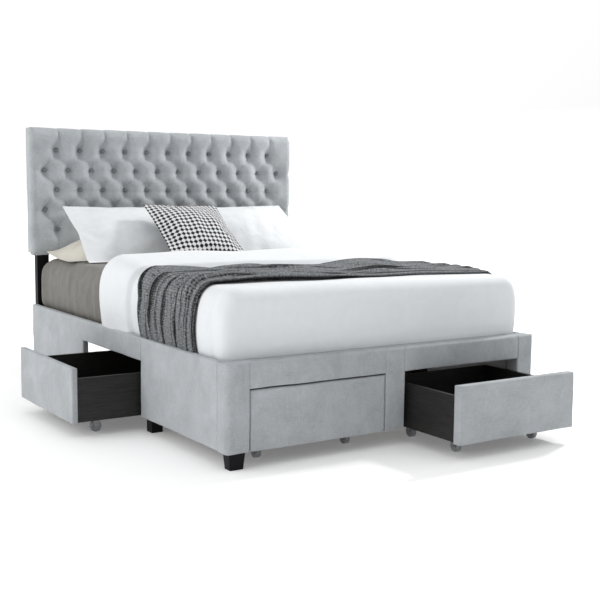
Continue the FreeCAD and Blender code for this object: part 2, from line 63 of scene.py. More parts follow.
def ripples(points, seed, wavelength, stretch=(1, 1, 1), waves=9):
    """A smooth random field with a spread of about 1, made of plane waves."""
    source = np.random.RandomState(seed)
    total = np.zeros(len(points))
    for _ in range(waves):
        way = source.normal(size=3)
        way /= np.linalg.norm(way)
        length = wavelength * source.uniform(0.7, 1.5)
        total += np.cos(points @ (way / np.array(stretch)) * math.tau / length
                        + source.uniform(0, math.tau))
    return total / math.sqrt(waves / 2)


# ---------------------------------------------------------------- meshes

def mesh_object(name, points, faces, flat_coordinates=None):
    mesh = bpy.data.meshes.new(name)
    mesh.from_pydata(np.asarray(points, float).tolist(), [], [list(map(int, f)) for f in faces])
    mesh.validate()
    mesh.update()
    mesh.shade_smooth()
    if flat_coordinates is not None:
        layer = mesh.uv_layers.new(name="cloth")
        corner_points = np.zeros(len(mesh.loops), int)
        mesh.loops.foreach_get("vertex_index", corner_points)
        places = np.asarray(flat_coordinates, np.float32)[corner_points]
        layer.data.foreach_set("uv", places.ravel())
    piece = bpy.data.objects.new(name, mesh)
    bpy.context.scene.collection.objects.link(piece)
    return piece


def normals_of(points, faces):
    """Unit normals at the points of a mesh of quads."""
    quads = np.asarray(faces)
    across = np.cross(points[quads[:, 2]] - points[quads[:, 0]],
                      points[quads[:, 3]] - points[quads[:, 1]])
    total = np.zeros_like(points)
    for corner in range(4):
        np.add.at(total, quads[:, corner], across)
    return total / np.maximum(np.linalg.norm(total, axis=1), 1e-12)[:, None]


def finish_piece(piece, body, replaced, material=None):
    """Material, body and replaced nodes of a new piece."""
    if material is not None:
        piece.data.materials.append(material)
    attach(piece, body)
    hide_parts(*replaced)


def grid_lines(low, high, step, edges, seams):
    """Places of grid lines from low to high, close together at rounded edges and at seams."""
    fixed = sorted({round(v, 6) for v in (low, high, *(place for place, _ in edges), *seams)})
    wanted = list(np.linspace(low, high, max(2, round((high - low) / step) + 1)))
    for place, radius in edges:
        for turn in (0.2, 0.4, 0.6, 0.8, 1.0):
            reach = radius * (1 - math.cos(turn * math.pi / 2))
            wanted += [place - reach, place + reach]
    for place in seams:
        wanted += [place + side * reach for side in (-1, 1) for reach in (0.0015, 0.003, 0.006)]
    kept = list(fixed)
    for value in sorted(wanted, key=lambda v: min(abs(v - f) for f in fixed)):
        if low < value < high and min(abs(value - k) for k in kept) > 0.0006:
            kept.append(value)
    return np.array(sorted(kept))


WALL_STEPS = 5


class Panel:
    """An upholstered panel: a rectilinear outline with rounded front edges, walls and a flat back.

    The outline is made of rectangles (low u, high u, low v, high v). The axes u, v and w are
    indexes of world axes; out is the sign of the way that the front faces along w.
    """

    def __init__(self, rectangles, axes, level, out, thick, radius, step, seams=((), ()),
                 radius_of=None):
        self.rectangles = rectangles
        self.radius_of = radius_of or (lambda place, upright: radius)
        u_edges = [(u, self.radius_of(u, True)) for r in rectangles for u in r[:2]]
        v_edges = [(v, self.radius_of(v, False)) for r in rectangles for v in r[2:]]
        u_lines = grid_lines(min(r[0] for r in rectangles), max(r[1] for r in rectangles), step,
                             u_edges, seams[0])
        v_lines = grid_lines(min(r[2] for r in rectangles), max(r[3] for r in rectangles), step,
                             v_edges, seams[1])
        self.build(u_lines, v_lines, axes, level, out, thick)

    def grid(self, u_lines, v_lines):
        """The points and cells of the outline's flat grid."""
        u_mid = (u_lines[1:] + u_lines[:-1]) / 2
        v_mid = (v_lines[1:] + v_lines[:-1]) / 2
        inside = np.zeros((len(u_mid), len(v_mid)), bool)
        for low_u, high_u, low_v, high_v in self.rectangles:
            inside |= ((u_mid > low_u) & (u_mid < high_u))[:, None] & (
                (v_mid > low_v) & (v_mid < high_v))[None, :]
        number = -np.ones((len(u_lines), len(v_lines)), int)
        for i, j in np.argwhere(inside):
            number[i:i + 2, j:j + 2] = 0
        used = np.argwhere(number == 0)
        number[number == 0] = np.arange(len(used))
        flat = np.column_stack([u_lines[used[:, 0]], v_lines[used[:, 1]]])
        cells = [(number[i, j], number[i + 1, j], number[i + 1, j + 1], number[i, j + 1])
                 for i, j in np.argwhere(inside)]
        return flat, cells

    def build(self, u_lines, v_lines, axes, level, out, thick):
        """The front, the walls in steps and the flat back, turned onto the world's axes."""
        flat, cells = self.grid(u_lines, v_lines)
        rim = self.rim(cells)
        drop = self.edge_drop(flat, rim)
        count = len(flat)
        rim_points = sorted({p for edge in rim for p in edge})
        steps = WALL_STEPS
        layers = [np.column_stack([flat, -drop])]
        at = {p: [p] for p in rim_points}
        for level_number in range(1, steps):
            share = level_number / steps
            depth = drop[rim_points] + (thick - drop[rim_points]) * share
            layers.append(np.column_stack([flat[rim_points], -depth]))
            start = count + (level_number - 1) * len(rim_points)
            for order, p in enumerate(rim_points):
                at[p].append(start + order)
        start = count + (steps - 1) * len(rim_points)
        layers.append(np.column_stack([flat, np.full(count, -thick)]))
        for p in rim_points:
            at[p].append(start + p)
        faces = list(cells) + [tuple(start + p for p in reversed(cell)) for cell in cells]
        for a, b in rim:
            for low in range(steps):
                faces.append((at[b][low], at[a][low], at[a][low + 1], at[b][low + 1]))
        self.front = np.arange(start + count) < count
        self.orient(np.vstack(layers), faces, axes, level, out)

    def orient(self, local, faces, axes, level, out):
        """Turns local places onto the world's axes, with the faces' fronts outwards."""
        points = np.zeros_like(local)
        points[:, axes[0]] = local[:, 0]
        points[:, axes[1]] = local[:, 1]
        points[:, axes[2]] = level + out * local[:, 2]
        way = np.cross(np.eye(3)[axes[0]], np.eye(3)[axes[1]]) @ (out * np.eye(3)[axes[2]])
        self.faces = [f if way > 0 else tuple(reversed(f)) for f in faces]
        self.points = points
        self.normals = normals_of(points, self.faces)

    @staticmethod
    def rim(cells):
        """The outline's grid edges, in the cells' own direction."""
        seen = {}
        for cell in cells:
            for k in range(4):
                edge = (cell[k], cell[(k + 1) % 4])
                seen[edge] = True
        return [edge for edge in seen if (edge[1], edge[0]) not in seen]

    def edge_drop(self, flat, rim):
        """How far the rounded edges fall back from the front at each grid point."""
        drop = np.zeros(len(flat))
        runs = {}
        for a, b in rim:
            upright = abs(flat[a][0] - flat[b][0]) < 1e-9
            place = round(float(flat[a][0] if upright else flat[a][1]), 6)
            ends = sorted(float(flat[p][1] if upright else flat[p][0]) for p in (a, b))
            runs.setdefault((upright, place), []).append(ends)
        for (upright, place), pieces in runs.items():
            radius = self.radius_of(place, upright)
            joined = []
            for low, high in sorted(pieces):
                if joined and low - joined[-1][1] < 1e-9:
                    joined[-1][1] = high
                else:
                    joined.append([low, high])
            away = np.abs(flat[:, 0 if upright else 1] - place)
            along = flat[:, 1 if upright else 0]
            for low, high in joined:
                beyond = np.maximum(np.maximum(low - along, along - high), 0)
                left = np.clip(radius - np.hypot(away, beyond), 0, radius)
                drop = np.maximum(drop, radius - np.sqrt(radius ** 2 - left ** 2))
        return drop

    def relief(self, amount):
        self.points = self.points + self.normals * np.asarray(amount)[:, None]

    def make(self, name):
        return mesh_object(name, self.points, self.faces)


# ---------------------------------------------------------------- materials

def shade(red, green, blue):
    return (red, green, blue, 1.0)


class NodeTree:
    """Short ways to add shader nodes to a tree."""

    def __init__(self, tree):
        self.nodes = tree.nodes
        self.links = tree.links

    def first(self, kind):
        return next(n for n in self.nodes if n.type == kind)

    def add(self, kind, inputs=None, **settings):
        item = self.nodes.new("ShaderNode" + kind)
        for name, value in settings.items():
            setattr(item, name, value)
        for socket, value in (inputs or {}).items():
            if isinstance(value, bpy.types.NodeSocket):
                self.links.new(value, item.inputs[socket])
            else:
                item.inputs[socket].default_value = value
        return item

    def math(self, operation, a, b=0.0):
        return self.add("Math", {0: a, 1: b}, operation=operation).outputs[0]

    def plus(self, a, b):
        return self.math("ADD", a, b)

    def minus(self, a, b):
        return self.math("SUBTRACT", a, b)

    def times(self, a, b):
        return self.math("MULTIPLY", a, b)

    def spread(self, value, low, high, to_low=0.0, to_high=1.0):
        return self.add("MapRange", {"Value": value, "From Min": low, "From Max": high,
                                     "To Min": to_low, "To Max": to_high}).outputs[0]


class Material(NodeTree):
    """A node material around one Principled shader."""

    def __init__(self, name, **finish):
        self.data = bpy.data.materials.new(name)
        self.data.use_nodes = True
        super().__init__(self.data.node_tree)
        self.shader = self.first("BSDF_PRINCIPLED")
        for socket, value in finish.items():
            self.shader.inputs[socket.replace("_", " ")].default_value = value
        self.place = self.add("TexCoord").outputs["Object"]

    def wave(self, value, turn):
        """The sine of a value times a turn."""
        return self.math("SINE", self.times(value, turn))

    def scaled(self, scale, vector=None):
        """The place, stretched by a scale for each axis."""
        return self.add("Mapping", {"Vector": vector or self.place, "Scale": scale}).outputs[0]

    def noise(self, scale, detail=3.0, roughness=0.55, vector=None, distortion=0.0):
        inputs = {"Vector": vector or self.place, "Scale": scale, "Detail": detail,
                  "Roughness": roughness, "Distortion": distortion}
        return self.add("TexNoise", inputs).outputs[0]

    def weighted(self, *parts):
        """The sum of values, each times its weight."""
        terms = [self.times(value, weight) for value, weight in parts]
        total = terms[0]
        for term in terms[1:]:
            total = self.plus(total, term)
        return total

    def paint(self, value, low, high, dark, light):
        """Colours the surface from dark to light as a value goes from low to high."""
        inputs = {0: self.spread(value, low, high), 6: shade(*dark), 7: shade(*light)}
        mixer = self.add("Mix", inputs, data_type="RGBA")
        self.links.new(mixer.outputs[2], self.shader.inputs["Base Color"])

    def threads(self, pitch, vector=None):
        """A plain weave of raised crossings, for upright and level faces."""
        axes = self.add("SeparateXYZ", {0: vector or self.place}).outputs
        turn = math.tau / pitch
        level = self.wave(self.plus(axes[0], axes[1]), turn)
        upright = self.wave(axes[2], turn)
        diagonal = self.wave(self.minus(axes[0], axes[1]), turn)
        crossings = self.times(level, self.plus(upright, diagonal))
        return self.spread(crossings, -2.0, 2.0)

    def roughen(self, *layers):
        """Adds bumps, each a (height, distance in metres, strength)."""
        before = None
        for height, distance, strength in layers:
            inputs = {"Height": height, "Distance": distance, "Strength": strength}
            if before is not None:
                inputs["Normal"] = before
            before = self.add("Bump", inputs).outputs[0]
        self.links.new(before, self.shader.inputs["Normal"])


def brushed_fabric(name, dark, light, sheen=0.35):
    """A short-piled upholstery weave with cloudy brushing and slubs in its threads."""
    m = Material(name, Roughness=0.88, Sheen_Weight=sheen, Sheen_Roughness=0.45,
                 Sheen_Tint=shade(0.92, 0.94, 0.96), Specular_IOR_Level=0.25)
    clouds = m.noise(9.0, 4.0, 0.6, distortion=0.4)
    slubs_level = m.noise(60.0, 2.0, 0.5, m.scaled((1.0, 1.0, 7.0)))
    slubs_upright = m.noise(60.0, 2.0, 0.5, m.scaled((7.0, 7.0, 1.0)))
    slubs = m.plus(slubs_level, slubs_upright)
    grain = m.noise(420.0, 2.0, 0.6)
    mixed = m.weighted((clouds, 1.3), (slubs, 0.70), (grain, 0.35))
    m.paint(mixed, 1.18, 1.88, dark, light)
    m.roughen((clouds, 0.004, 0.25), (slubs, 0.0012, 0.35), (m.threads(0.0016), 0.0004, 0.6))
    return m.data


def cotton(name, dark, light, creased=0.14, weave=0.0009):
    """Smooth bed linen: fine threads, faint creases and almost even colour."""
    m = Material(name, Roughness=0.82, Sheen_Weight=0.12, Sheen_Roughness=0.4,
                 Specular_IOR_Level=0.25)
    creases = m.noise(14.0, 5.0, 0.55, distortion=1.2)
    fine = m.noise(55.0, 3.0, 0.6)
    m.paint(creases, 0.3, 0.7, dark, light)
    m.roughen((creases, 0.008, creased), (fine, 0.002, creased), (m.threads(weave), 0.0002, 0.5))
    return m.data


STITCH_WIDTH = 0.0085
STITCH_HEIGHT = 0.0065
DIAMOND_WIDTH = 0.023
DIAMOND_HEIGHT = 0.025
CORD_PITCH = 0.003


def knit(name, dark, light):
    """Melange yarn knitted in small stitches; needs the cloth's own flat coordinates."""
    m = Material(name, Roughness=0.95, Sheen_Weight=0.08, Sheen_Roughness=0.5,
                 Specular_IOR_Level=0.15)
    cloth = m.add("UVMap", uv_map="cloth").outputs[0]
    axes = m.add("SeparateXYZ", {0: cloth}).outputs
    across = m.times(axes[0], math.tau / STITCH_WIDTH)
    along = m.times(axes[1], math.tau / STITCH_HEIGHT)
    columns = m.math("ABSOLUTE", m.wave(across, 0.5))
    slant = m.times(columns, 2.4)
    stitches = m.math("SINE", m.plus(along, slant))
    flecks = m.noise(115.0, 4.0, 0.85, cloth)
    streaks = m.spread(m.noise(44.0, 2.0, 0.5, m.scaled((1.0, 0.03, 1.0), cloth)), 0.36, 0.50)
    tone = m.weighted((flecks, 2.4), (stitches, 0.12), (streaks, 0.60), (columns, 0.10))
    m.paint(tone, 1.42, 2.14, dark, light)
    m.roughen((columns, 0.0022, 0.8), (stitches, 0.0012, 0.7), (flecks, 0.0006, 0.5))
    return m.data


def zigzag_weave(name, dark, light):
    """A two-colour weave of small stepped diamonds; needs flat coordinates."""
    m = Material(name, Roughness=0.9, Sheen_Weight=0.15, Specular_IOR_Level=0.2)
    cloth = m.add("UVMap", uv_map="cloth").outputs[0]
    axes = m.add("SeparateXYZ", {0: cloth}).outputs
    across = m.math("FRACT", m.math("DIVIDE", axes[0], DIAMOND_WIDTH))
    up = m.math("FRACT", m.math("DIVIDE", axes[1], DIAMOND_HEIGHT))
    wedge = m.plus(m.math("ABSOLUTE", m.minus(across, 0.5)),
                   m.math("ABSOLUTE", m.minus(up, 0.5)))
    fuzz = m.times(m.minus(m.noise(500.0, 2.0, 0.6, cloth), 0.5), 0.10)
    figure = m.spread(m.plus(wedge, fuzz), 0.45, 0.51)
    m.paint(figure, 0.0, 1.0, dark, light)
    cords = m.wave(axes[0], math.tau / CORD_PITCH)
    m.roughen((figure, 0.0008, 0.5), (cords, 0.0005, 0.6))
    return m.data


def wood(name, dark, light, stretch, roughness=0.45, ring=26.0, shine=0.3):
    """Straight grain that runs along the axis whose stretch is smallest."""
    m = Material(name, Roughness=roughness, Coat_Weight=0.03, Coat_Roughness=0.4,
                 Specular_IOR_Level=shine)
    along = m.scaled(stretch)
    bands = m.noise(ring, 5.0, 0.65, along, 0.8)
    pores = m.noise(ring * 7, 3.0, 0.7, along)
    tone = m.weighted((bands, 0.75), (pores, 0.35))
    m.paint(tone, 0.38, 0.72, dark, light)
    m.roughen((bands, 0.0012, 0.3), (pores, 0.0006, 0.6))
    return m.data


def metal(name, dark, light, roughness=0.35):
    m = Material(name, Roughness=roughness, Metallic=1.0)
    scuffs = m.noise(130.0, 5.0, 0.7)
    m.paint(scuffs, 0.35, 0.65, dark, light)
    m.roughen((scuffs, 0.0002, 0.4))
    return m.data


def moulded(name, dark, light, roughness=0.42):
    m = Material(name, Roughness=roughness)
    mottle = m.noise(90.0, 4.0, 0.6)
    m.paint(mottle, 0.35, 0.65, dark, light)
    m.roughen((m.noise(700.0, 2.0, 0.5), 0.0002, 0.5))
    return m.data


UPHOLSTERY = brushed_fabric("upholstery_fabric", (0.315, 0.334, 0.350), (0.440, 0.463, 0.482), 0.2)
# The buttons' cover is the upholstery's fabric painted darker and duller: painted shade of the deep
# pits around them.
BUTTON_FABRIC_PAINTED_SHADE = brushed_fabric("button_fabric_painted_shade", (0.15, 0.160, 0.168), (0.21, 0.222, 0.232), 0.10)
DUST_CLOTH = brushed_fabric("dust_cloth", (0.010, 0.010, 0.012), (0.026, 0.026, 0.028), 0.1)
SHEET_COTTON = cotton("taupe_cotton", (0.154, 0.148, 0.134), (0.193, 0.186, 0.170))
WHITE_COTTON = cotton("white_cotton", (0.705, 0.725, 0.745), (0.735, 0.755, 0.770))
PILLOW_COTTON = cotton("pillow_cotton", (0.675, 0.697, 0.715), (0.725, 0.745, 0.760), 0.42)
IVORY_COTTON = cotton("ivory_cotton", (0.66, 0.63, 0.55), (0.74, 0.71, 0.64), 0.42)
KNIT = knit("melange_knit", (0.008, 0.009, 0.010), (0.30, 0.315, 0.33))
ZIGZAG = zigzag_weave("zigzag_weave", (0.008, 0.009, 0.011), (0.69, 0.70, 0.71))
BLACK_WOOD = wood("black_wood", (0.003, 0.003, 0.004), (0.009, 0.009, 0.011), (9, 9, 0.7), 0.5,
                  26.0, 0.10)
PALE_WOOD = {axis: wood(f"pale_wood_{axis}", (0.42, 0.29, 0.17), (0.63, 0.48, 0.32), stretch,
                        0.6, 14.0)
             for axis, stretch in (("x", (0.5, 6, 6)), ("y", (6, 0.5, 6)))}
FOIL = {axis: wood(f"espresso_foil_{axis}", (0.004, 0.004, 0.004), (0.030, 0.028, 0.027), stretch)
        for axis, stretch in (("x", (0.35, 9, 9)), ("y", (9, 0.35, 9)))}
ZINC = metal("zinc_steel", (0.42, 0.43, 0.45), (0.62, 0.63, 0.65))
CASTOR_STEEL = metal("castor_steel", (0.20, 0.21, 0.22), (0.34, 0.35, 0.36), 0.45)
NYLON = moulded("grey_nylon", (0.20, 0.21, 0.22), (0.29, 0.30, 0.31))


# ---------------------------------------------------------------- carried-over CAD nodes

def node_material(name):
    side = name.startswith("side_")
    if name.endswith(("_sides", "_floor")):
        return FOIL["x" if side else "y"]
    if name.endswith("_back") and "drawer" in name:
        return FOIL["y" if side else "x"]
    if name.endswith("_castor_forks"):
        return CASTOR_STEEL
    if name.endswith("_wheels"):
        return NYLON
    known = {
        "headboard_back_panel": DUST_CLOTH, "headboard_posts": BLACK_WOOD,
        "foot_corner_legs": BLACK_WOOD, "mid_legs": BLACK_WOOD, "centre_legs": BLACK_WOOD,
        "headboard_cross_rails": PALE_WOOD["x"], "slats": PALE_WOOD["x"],
        "cross_rails": PALE_WOOD["x"], "slat_ledgers": PALE_WOOD["y"],
        "centre_beam": PALE_WOOD["y"], "corner_brackets": ZINC, "frame_bolts": ZINC,
    }
    return known.get(name)


def dress_nodes():
    """Materials and softened edges for the CAD nodes that stay in sight."""
    for name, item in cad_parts.items():
        material = node_material(name)
        if material is None:
            continue
        item.data.materials.clear()
        item.data.materials.append(material)
        weld = item.modifiers.new("Join", "WELD")
        weld.merge_threshold = 0.00002
        bevel = item.modifiers.new("Edge", "BEVEL")
        bevel.width = 0.0006 if "castor" in name or "wheel" in name or "bolt" in name else 0.0018
        bevel.segments = 2
        bevel.limit_method = "ANGLE"
        bevel.angle_limit = math.radians(40)


# ---------------------------------------------------------------- headboard

HEAD_LOW, HEAD_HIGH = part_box("headboard_upholstery")
BUTTON_LOW, BUTTON_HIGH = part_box("headboard_buttons")
BUTTON_RADIUS = 0.011
BUTTON_SINK = 0.0055
TUFT_ROWS = 5
LONG_ROW = 12
TUFT_DEPTH = 0.027
CUSHION_CROWN = 0.012
BUTTON_PIT = 0.032
FOLD_SWAY = 0.0075
PLEAT_LEAN = 0.013
PAST_THE_EDGE = 0.05


def tuft_places():
    """The buttons' centres, row by row from the top; every second row is one longer."""
    pitch = (BUTTON_HIGH.x - BUTTON_LOW.x - 2 * BUTTON_RADIUS) / (LONG_ROW - 1)
    drop = (BUTTON_HIGH.z - BUTTON_LOW.z - 2 * BUTTON_RADIUS) / (TUFT_ROWS - 1)
    rows = []
    for row in range(TUFT_ROWS):
        count = LONG_ROW - 1 + row % 2
        z = BUTTON_HIGH.z - BUTTON_RADIUS - row * drop
        rows.append([((column - (count - 1) / 2) * pitch, z) for column in range(count)])
    return rows, pitch, drop


def tuft_folds(rows, pitch):
    """The folds as (start, end, pull at the start, middle and end), starting at a button."""
    folds = []
    for upper, lower in zip(rows, rows[1:]):
        for a in upper:
            folds += [(a, b, 0.72, 0.36, 0.72) for b in lower if abs(a[0] - b[0]) < 0.6 * pitch]
    top, bottom = HEAD_HIGH.z + PAST_THE_EDGE, HEAD_LOW.z - PAST_THE_EDGE
    folds += [(a, (a[0], top), 0.66, 0.40, 0.16) for a in rows[0]]
    folds += [(a, (a[0], bottom), 0.60, 0.30, 0.20) for a in rows[-1]]
    left, right = HEAD_LOW.x - PAST_THE_EDGE, HEAD_HIGH.x + PAST_THE_EDGE
    for row in rows[1::2]:
        for a, edge in ((row[0], left), (row[-1], right)):
            folds.append((a, (edge, a[1]), 0.50, 0.12, 0.07))
    return folds


def fold_sway(x, z, rows, pitch, drop):
    """Moves a place so that straight folds come out as soft S curves between the buttons."""
    top = rows[0][0][1]
    a = (x - rows[0][0][0]) / pitch + (z - top) / (2 * drop)
    b = (x - rows[0][0][0]) / pitch - (z - top) / (2 * drop)
    length = math.hypot(pitch / 2, drop)
    one = FOLD_SWAY * np.sin(math.tau * a) * np.cos(math.pi * b) ** 2
    two = FOLD_SWAY * np.sin(math.tau * b) * np.cos(math.pi * a) ** 2
    inside = smooth(top - z, -0.02, 0.0) * smooth(z - rows[-1][0][1], -0.02, 0.0)
    above = np.clip((z - top) / (HEAD_HIGH.z - top), 0, 1)
    lean = -PLEAT_LEAN * np.sin(math.pi * above) * smooth(z, top - 0.001, top + 0.03)
    sideways = (one + two) * (drop / length) * inside + lean
    upward = (two - one) * (pitch / 2 / length) * inside
    return x + sideways, z + upward


def fold_pull(x, z, fold):
    """How far one fold pulls the cover in: a crease near the buttons and a soft valley between."""
    (ax, az), (bx, bz), first, middle, last = fold
    length = math.hypot(bx - ax, bz - az)
    way = ((bx - ax) / length, (bz - az) / length)
    along = np.clip(((x - ax) * way[0] + (z - az) * way[1]) / length, 0, 1)
    off_x = x - ax - along * length * way[0]
    off_z = z - az - along * length * way[1]
    steep = off_z > 0 if abs(way[1]) < 0.99 else off_x > 0
    narrow = 1 - 0.45 * smooth(z, HEAD_HIGH.z - 0.09, HEAD_HIGH.z - 0.04)
    width = (0.010 + 0.006 * np.sin(math.pi * along)) * np.where(steep, 0.8, 1.8) * narrow
    near_start = first + (middle - first) * smooth(along, 0.10, 0.45)
    pull = np.where(along < 0.5, near_start, middle + (last - middle) * smooth(along, 0.55, 0.90))
    return pull * np.exp(-(np.hypot(off_x, off_z) / width) ** 1.15)


def tuft_depth(x, z):
    """How far the tufting pulls the cover in, from 0 on the cushions' crowns to 1 at a button."""
    rows, pitch, drop = tuft_places()
    sx, sz = fold_sway(x, z, rows, pitch, drop)
    swell = np.ones(len(x))
    for fold in tuft_folds(rows, pitch):
        swell *= 1 - fold_pull(sx, sz, fold)
    for row in rows:
        for bx, bz in row:
            away = np.hypot(x - bx, z - bz)
            swell *= 1 - np.exp(-(away / BUTTON_PIT) ** 1.6)
    return 1 - swell


def make_headboard():
    rectangle = (HEAD_LOW.x, HEAD_HIGH.x, HEAD_LOW.z, HEAD_HIGH.z)
    thick = HEAD_HIGH.y - HEAD_LOW.y
    cover = Panel([rectangle], (0, 2, 1), HEAD_LOW.y, -1, thick, 0.020, 0.0046)
    x, z = cover.points[:, 0], cover.points[:, 2]
    depth_back = cover.points[:, 1] - HEAD_LOW.y
    wrap = 1 - smooth(depth_back, 0.010, 0.062)
    pulled = tuft_depth(x, z)
    flatter = 1 - 0.80 * smooth(z, HEAD_HIGH.z - 0.035, HEAD_HIGH.z - 0.004)
    crown = CUSHION_CROWN * (1 - pulled) * smooth(wrap, 0.6, 1.0) * flatter
    soft = ripples(cover.points, 4, 0.09) * 0.0006
    cover.relief(wrap * (-TUFT_DEPTH * pulled * flatter + crown + soft))
    piece = cover.make("headboard_tufted_cover")
    finish_piece(piece, "bed_frame", ["headboard_upholstery"], UPHOLSTERY)
    make_buttons()


def make_buttons():
    """Fabric-covered domes with a rolled rim, pulled into the tufts; their cover is painted darker
    than the upholstery, as painted shade of the pits.
    """
    rings, around = 7, 18
    points, faces = [], []
    front, base = BUTTON_LOW.y + BUTTON_SINK, BUTTON_HIGH.y + BUTTON_SINK
    for row in tuft_places()[0]:
        for bx, bz in row:
            start = len(points)
            points.append((bx, front, bz))
            for ring in range(1, rings + 1):
                turn = ring / rings * math.pi / 2
                radius = BUTTON_RADIUS * math.sin(turn) ** 0.8
                y = base - (base - front) * math.cos(turn) ** 0.8
                for step in range(around):
                    angle = math.tau * step / around
                    points.append((bx + radius * math.cos(angle), y, bz + radius * math.sin(angle)))
            points.append((bx, base, bz))
            for step in range(around):
                following = (step + 1) % around
                faces.append((start, start + 1 + step, start + 1 + following))
                for ring in range(rings - 1):
                    low = start + 1 + ring * around
                    faces.append((low + following, low + step,
                                  low + around + step, low + around + following))
                last = start + 1 + (rings - 1) * around
                faces.append((start + 1 + rings * around, last + following, last + step))
    piece = mesh_object("headboard_covered_buttons", points, faces)
    finish_piece(piece, "bed_frame", ["headboard_buttons"], BUTTON_FABRIC_PAINTED_SHADE)


# ---------------------------------------------------------------- upholstered frame

def padding(panel, crown, wrinkle, seed):
    """A slight swell and the waves of stretched cloth over thin foam."""
    front = panel.front.astype(float)
    waves = ripples(panel.points, seed, 0.22, (1, 1, 0.6)) * wrinkle
    pucker = ripples(panel.points, seed + 1, 0.05, (1, 1, 1)) * wrinkle * 0.25
    return front * (crown + waves + pucker)


def seam(places, at, width=0.0022, depth=0.0028):
    return -depth * bump(places, at, width) + 0.0009 * (bump(places, at - 0.007, 0.004)
                                                       + bump(places, at + 0.007, 0.004))


def make_foot_cover():
    rail_low, rail_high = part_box("foot_top_rail")
    rectangles = [(rail_low.x, rail_high.x, rail_low.z, rail_high.z)]
    edges = []
    for name in ("foot_stile_left", "foot_stile_centre", "foot_stile_right"):
        low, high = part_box(name)
        rectangles.append((low.x, high.x, low.z, rail_low.z))
        edges += [low.x, high.x]
    seams = edges[1:-1]
    outer = (rail_low.x, rail_high.x)

    def radius_of(place, upright):
        if upright and min(abs(place - o) for o in outer) < 0.001:
            return 0.022
        return 0.009 if not upright and abs(place - rail_high.z) < 0.001 else 0.004

    cover = Panel(rectangles, (0, 2, 1), rail_low.y, -1, rail_high.y - rail_low.y, 0.005, 0.012,
                  (seams, ()), radius_of)
    amount = padding(cover, 0.0012, 0.0005, 11)
    x = cover.points[:, 0]
    above = smooth(cover.points[:, 2], rail_low.z - 0.004, rail_low.z + 0.004)
    for place in seams:
        amount = amount + seam(x, place) * above * cover.front
    cover.relief(amount)
    piece = cover.make("foot_panel_cover")
    finish_piece(piece, "bed_frame", ["foot_top_rail", "foot_stile_left", "foot_stile_centre",
                                      "foot_stile_right"], UPHOLSTERY)


def make_side_covers():
    for hand, out in (("left", -1), ("right", 1)):
        foot_low, foot_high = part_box(f"side_foot_panel_{hand}")
        rail_low, rail_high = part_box(f"side_rail_{hand}")
        block_low, block_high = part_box(f"side_head_block_{hand}")
        level = foot_low.x if out < 0 else foot_high.x
        thick = foot_high.x - foot_low.x
        shapes = {
            "foot": ([(foot_low.y, foot_high.y, foot_low.z, foot_high.z)],
                     [f"side_foot_panel_{hand}"]),
            "head": ([(rail_low.y, rail_high.y, rail_low.z, rail_high.z),
                      (block_low.y, block_high.y, block_low.z, block_high.z)],
                     [f"side_rail_{hand}", f"side_head_block_{hand}"]),
        }
        for order, (end, (rectangles, nodes)) in enumerate(shapes.items()):
            cover = Panel(rectangles, (1, 2, 0), level, out, thick, 0.006, 0.014)
            cover.relief(padding(cover, 0.0008, 0.0006, 21 + order + 2 * (out > 0)))
            piece = cover.make(f"side_{end}_cover_{hand}")
            finish_piece(piece, "bed_frame", nodes, UPHOLSTERY)


def make_drawer_fronts():
    for order, name in enumerate(("foot_drawer_left", "foot_drawer_right", "side_drawer_left",
                                  "side_drawer_right")):
        low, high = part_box(f"{name}_front")
        if name.startswith("foot"):
            cover = Panel([(low.x, high.x, low.z, high.z)], (0, 2, 1), low.y, -1,
                          high.y - low.y, 0.007, 0.012)
        else:
            out = -1 if name.endswith("left") else 1
            cover = Panel([(low.y, high.y, low.z, high.z)], (1, 2, 0),
                          low.x if out < 0 else high.x, out, high.x - low.x, 0.007, 0.012)
        cover.relief(padding(cover, 0.0015, 0.0006, 41 + order))
        piece = cover.make(f"{name}_padded_front")
        finish_piece(piece, name, [f"{name}_front"], UPHOLSTERY)


# ---------------------------------------------------------------- bedding

MATTRESS_LOW, MATTRESS_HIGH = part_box("mattress")
DUVET_LOW, DUVET_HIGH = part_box("duvet")
THROW_FOOT_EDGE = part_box("throw")[0].y
RAIL_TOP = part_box("side_rail_left")[1].z
FOLD_LENGTH = 0.330
MATTRESS_ROUNDING = 0.058
HEAD_SWELL = 0.024
HEAD_CORNER_FILL = 0.044


def box_grid(low, high, faces_wanted, lines):
    """Grids on some faces of a box, sharing the points where the faces meet.

    A face is (axis, side): side 0 is the low one. Lines hold each axis's grid places.
    """
    numbers, points, faces = {}, [], []
    ends = (low, high)

    def number(place):
        key = tuple(round(float(v), 6) for v in place)
        if key not in numbers:
            numbers[key] = len(points)
            points.append(key)
        return numbers[key]

    for axis, side in faces_wanted:
        u, v = (axis + 1) % 3, (axis + 2) % 3
        level = ends[side][axis]
        for u0, u1 in zip(lines[u], lines[u][1:]):
            for v0, v1 in zip(lines[v], lines[v][1:]):
                corners = []
                for a, b in ((u0, v0), (u1, v0), (u1, v1), (u0, v1)):
                    place = [0.0, 0.0, 0.0]
                    place[axis], place[u], place[v] = level, a, b
                    corners.append(number(place))
                faces.append(corners if side else corners[::-1])
    return np.array(points), faces


def rounded(points, low, high, radius):
    """Moves points on a box's faces onto the same box with rounded edges, with their normals."""
    inner = np.clip(points, np.array(low) + radius, np.array(high) - radius)
    away = points - inner
    normals = away / np.maximum(np.linalg.norm(away, axis=1), 1e-9)[:, None]
    return inner + normals * radius, normals


def even(low, high, step):
    return np.linspace(low, high, max(2, round((high - low) / step) + 1))


def closed_shell(faces, count):
    """An outer layer, an inner layer whose points follow it after the count, and a rim."""
    edges = {(f[k], f[(k + 1) % 4]) for f in faces for k in range(4)}
    shell = [tuple(f) for f in faces] + [tuple(count + p for p in reversed(f)) for f in faces]
    return shell + [(b, a, count + a, count + b) for a, b in sorted(edges) if (b, a) not in edges]


